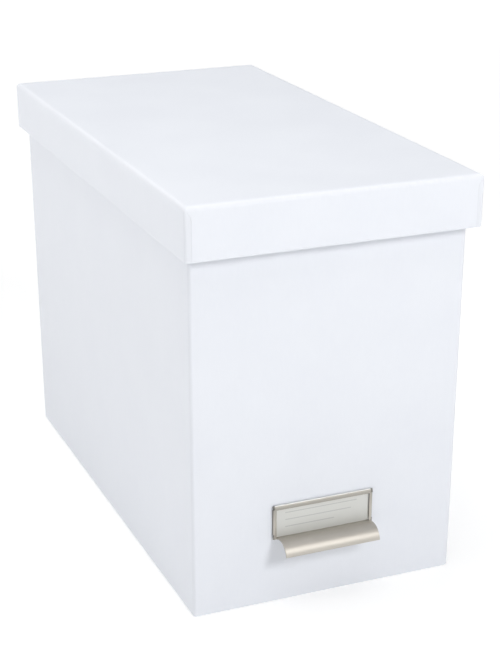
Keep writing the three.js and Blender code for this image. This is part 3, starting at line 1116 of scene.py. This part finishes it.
def holderFrame():
    size = holderSize
    half = size["sheet"] / 2
    face = half - size["standOff"]
    inner = holderHalf - size["sideBar"]
    flangeX = holderHalf - half
    radius = size["bendRadius"]
    foldX = flangeX - radius
    bottom, windowTop = size["bottomBar"], holderTop - size["topBar"]
    back, rise, turned = face, 0.0, 0.0
    rolled = []
    for roll, degrees in size["topRolls"]:
        until = math.radians(degrees)
        for angle in evenly(turned, until, size["rollSteps"]) + [until]:
            rolled.append((
                back + roll * (math.cos(turned) - math.cos(angle)),
                rise + roll * (math.sin(angle) - math.sin(turned)),
            ))
        (back, rise), turned = rolled[-1], until
    rollStart = holderTop - size["topSink"] - rise
    notch, relief = size["notch"], size["relief"]
    metal = Sheet()

    def topRows(x):
        rows = [holderPoint(x, face, z) for z in (windowTop, windowTop + relief, rollStart)]
        return rows + [holderPoint(x, depth, rollStart + up) for depth, up in rolled]

    columns = [inner, (inner + foldX) / 2, foldX]
    across = [-x for x in columns[::-1]] + evenly(-inner, inner, size["frameColumns"]) + columns
    metal.patch([topRows(x) for x in across])
    lowTab = [0, bottom, notch - relief]
    middle = [notch, (notch + windowTop) / 2, windowTop]
    for side in (-1, 1):
        bar = [side * x for x in columns]
        tab = [side * foldX, side * holderHalf]
        metal.patch([[holderPoint(x, face, z) for z in lowTab + middle] for x in bar])
        metal.patch([[holderPoint(x, face, z) for z in lowTab] for x in tab])
        metal.patch([topRows(x)[1:] for x in tab])
        flange = []
        for angle in quarter(size["bendSteps"]):
            x = side * (foldX + radius * math.sin(angle))
            depth = face + radius * (1 - math.cos(angle))
            flange.append([holderPoint(x, depth, z) for z in middle])
        flange.append([holderPoint(side * flangeX, -size["wallGap"], z) for z in middle])
        metal.patch(flange)
    return metal.solid("holderFrame", size["sheet"], size["edgeRound"], "satin_nickel")


# The ledge under the card, then a ramp and an arc: the bent-out pull
def holderPull():
    size = holderSize
    half = size["sheet"] / 2
    face = half - size["standOff"]
    start, tip = math.radians(size["pullStart"]), math.radians(size["pullTip"])
    steps = size["pullSteps"]
    angles = [start + (tip - start) * step / steps for step in range(steps + 1)]
    line = [(-size["wallGap"], half), (face * size["ledgeRow"], half), (face, half)]
    line += arc(size["pullDepth"], size["pullHeight"], size["pullRadius"], angles)
    metal = Sheet()
    end = size["pullHalf"]
    near = end - size["edgeLoop"]
    across = [-end, -near, *evenly(-near, near, size["pullColumns"]), near, end]
    shift = size["pullShift"]
    metal.patch([[holderPoint(x + shift, depth, z) for depth, z in line] for x in across])
    return metal.solid("holderPull", size["sheet"], size["edgeRound"], "satin_nickel")


def holderProngs():
    size = holderSize
    half = size["sheet"] / 2
    behind = size["wallThick"] + size["wallGap"] + half
    radius = size["prongBend"]
    edge = holderHalf - half
    line = [(edge, size["prongStart"]), (edge, behind - radius)]
    line += arc(edge - radius, behind - radius, radius, quarter(size["bendSteps"])[1:])
    line.append((holderHalf - size["prongReach"], behind))
    wide = size["prongWidth"] / 2
    pieces = []
    for side in (-1, 1):
        for step in (-1, 1):
            middle = (holderTop + step * size["prongSpacing"]) / 2
            levels = (middle - wide, middle, middle + wide)
            metal = Sheet()
            metal.patch([[holderPoint(side * x, depth, z) for x, depth in line] for z in levels])
            prong = metal.solid("holderProng", size["sheet"], size["edgeRound"], "satin_nickel")
            pieces.append(prong)
    return pieces


# reaches and amounts of the holder's painted shade and painted highlight
paintedLightLook = dict(
    cornerWide=0.95 * mm,
    cornerFoot=-0.2 * mm,
    flangeWide=0.12 * mm,
    barUnder=0.3 * mm,
    barEdge=0.5 * mm,
    facingUp=0.6,
    highCorner=0.95,
    lowCorner=0.6,
    flange=0.55,
    bar=0.3,
)


# Painted shade on the corners, flanges and bar, where the stamped sheet was bent, and a painted
# highlight on the bar's upward-facing upper edge
def markPaintedLight(piece):
    size, look = holderSize, paintedLightLook
    darkTone = piece.data.attributes.new("tarnish", "FLOAT", "POINT")
    bright = piece.data.attributes.new("rubbed", "FLOAT", "POINT")
    barLow = holderTop - size["topBar"]
    for point, mark, highlightMark in zip(piece.data.vertices, darkTone.data, bright.data):
        side = abs(point.co.x - holderX)
        height, depth = point.co.z - holderZ, point.co.y - wallY
        corner = side > holderHalf - look["cornerWide"]
        high = corner and height > holderTop - size["notch"]
        low = corner and look["cornerFoot"] < height < size["notch"]
        flange = side > holderHalf - look["flangeWide"]
        upper = height > barLow + look["barEdge"] and point.normal.z > look["facingUp"]
        bar = height > barLow - look["barUnder"] and not upper
        # how dark the painted shade is on the corners, the flanges and the top bar
        marks = (
            look["highCorner"] * high, look["lowCorner"] * low,
            look["flange"] * flange, look["bar"] * bar,
        )
        inWall = depth > 0
        mark.value = 0.0 if inWall else max(marks)
        # painted highlight on the top bar's upward-facing upper edge
        highlightMark.value = float(upper)


holderPieces = [holderFrame(), holderPull(), *holderProngs()]
holder = joinPieces("holder_stamping", holderPieces, "satin_nickel")
markPaintedLight(holder)
ride(holder, "box", "satin_nickel", "label_holder")


# Label card: rounded corners, a slight bow, and its own map for the ruled lines

cardSize = dict(
    cornerRadius=1.2 * mm,
    cornerShares=[0.0, 0.3, 0.65, 0.9, 1.0],
    bow=0.12 * mm,
    wider=0.5 * mm,
    drop=0.12 * mm,
    edgeLoop=0.985,
    across=24,
    up=7,
    edgeRound=0.08 * mm,
)
cardLow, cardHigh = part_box("label_card")


def makeCard():
    size = cardSize
    middle, half = (cardLow + cardHigh) / 2, (cardHigh - cardLow) / 2
    half.x += size["wider"]
    half.z += size["drop"]
    middle.z -= size["drop"]
    radius = size["cornerRadius"]
    straight = half.z - radius
    rounded = [straight + radius * share for share in size["cornerShares"]]
    heights = sorted([-z for z in rounded] + evenly(-straight, straight, size["up"]) + rounded)
    columns = []
    near = size["edgeLoop"]
    for share in [-1, -near, *evenly(-near, near, size["across"]), near, 1]:
        line = []
        for z in heights:
            over = max(abs(z) - straight, 0.0)
            x = share * (half.x - radius + math.sqrt(max(radius ** 2 - over ** 2, 0.0)))
            lift = size["bow"] * (1 - share ** 2)
            line.append((middle.x + x, middle.y - lift, middle.z + z))
        columns.append(line)
    card = Sheet()
    card.patch(columns)
    piece = card.solid("label_card_sheet", 2 * half.y, size["edgeRound"], "label_stock")
    layer = piece.data.uv_layers.new(name="cardMap")
    for loop in piece.data.loops:
        place = piece.data.vertices[loop.vertex_index].co
        layer.data[loop.index].uv = (
            (place.x - cardLow.x) / (2 * half.x), (place.z - cardLow.z) / (2 * half.z),
        )
    smooth(piece.data, sheetFinish["smoothFrom"])
    return piece


ride(makeCard(), "card", "label_stock", "label_card")
print("label holder and card made")


# Stage and light

stageLook = dict(
    floorSize=60.0,
    floorColour=(0.70, 0.70, 0.70),
    floorCloud=(0.71, 0.71, 0.71),
    glow=0.965,
    nearGlow=(0.42, 0.42, 0.42),
    farGlow=(1.0, 1.0, 1.0),
    glowReach=3.0,
    glowSpread=[(0.17, 0.0), (0.83, 1.0)],
    cloudScale=3.0,
    roughness=0.9,
)


# The floor glows more away from the box, so that it stays evenly pale
def makeStage():
    look = stageLook
    size = look["floorSize"]
    mesh = bpy.data.meshes.new("studioFloor")
    corners = [(-size, -size, 0), (size, -size, 0), (size, size, 0), (-size, size, 0)]
    mesh.from_pydata(corners, [], [(0, 1, 2, 3)])
    floor = addObject("studioFloor", mesh)
    fixed = {"Roughness": look["roughness"], "Emission Strength": look["glow"]}
    finish = Finish("studioWhite", fixed)
    where = finish.place()
    cloud = finish.noise(where, look["cloudScale"])
    away = finish.add("ShaderNodeVectorMath", {"operation": "LENGTH"}, {0: where}, "Value")
    spread = finish.ramp(away / look["glowReach"], look["glowSpread"])
    finish.set("Emission Color", finish.blend(spread, look["nearGlow"], look["farGlow"]))
    finish.set("Base Color", finish.blend(cloud, look["floorColour"], look["floorCloud"]))
    mesh.materials.append(finish.material)


studioAir = dict(
    colour=(0.985, 0.99, 1.0),
    rise=[(0.0, 0.93), (0.06, 0.80), (0.22, 0.12)],
)
lightAim = Vector((0.0, -0.1, 0.14))
lights = {
    "mainFront": dict(azimuth=16.5, elevation=33, away=2.00, size=0.5, power=15.5),
    "frontRight": dict(azimuth=45, elevation=27, away=2.00, size=1.2, power=1.8),
    "sideLeft": dict(azimuth=-110, elevation=35, away=1.60, size=1.0, power=6.9),
    "topLeft": dict(azimuth=-60, elevation=65, away=1.60, size=1.0, power=4.2),
    "topFront": dict(azimuth=0, elevation=80, away=1.40, size=1.0, power=3.6),
    "topRear": dict(azimuth=180, elevation=66, away=1.71, size=1.2, power=12.2),
}


# The air is pale down at the floor's far edge and dim overhead
def makeAir():
    world = bpy.data.worlds.new("studioAir")
    world.use_nodes = True
    air = world.node_tree.nodes["Background"]
    air.inputs["Color"].default_value = (*studioAir["colour"], 1)
    sky = Maker(world.node_tree)
    height = sky.add("ShaderNodeTexCoord", output="Generated").parts()[2]
    glow = sky.add("ShaderNodeValToRGB", {"stops": studioAir["rise"]}, {0: height})
    sky.feed(air.inputs["Strength"], glow)
    bpy.context.scene.world = world


def makeLights():
    for name, look in lights.items():
        data = bpy.data.lights.new(name, "AREA")
        data.shape = "SQUARE"
        data.size = look["size"]
        data.energy = look["power"]
        lamp = addObject(name, data)
        toward = directionTo(look["azimuth"], look["elevation"])
        lamp.location = lightAim + look["away"] * toward
        lamp.rotation_euler = toward.to_track_quat("Z", "Y").to_euler()


makeStage()
makeAir()
makeLights()
bpy.context.scene.view_settings.view_transform = "Standard"
print("stage and light set")
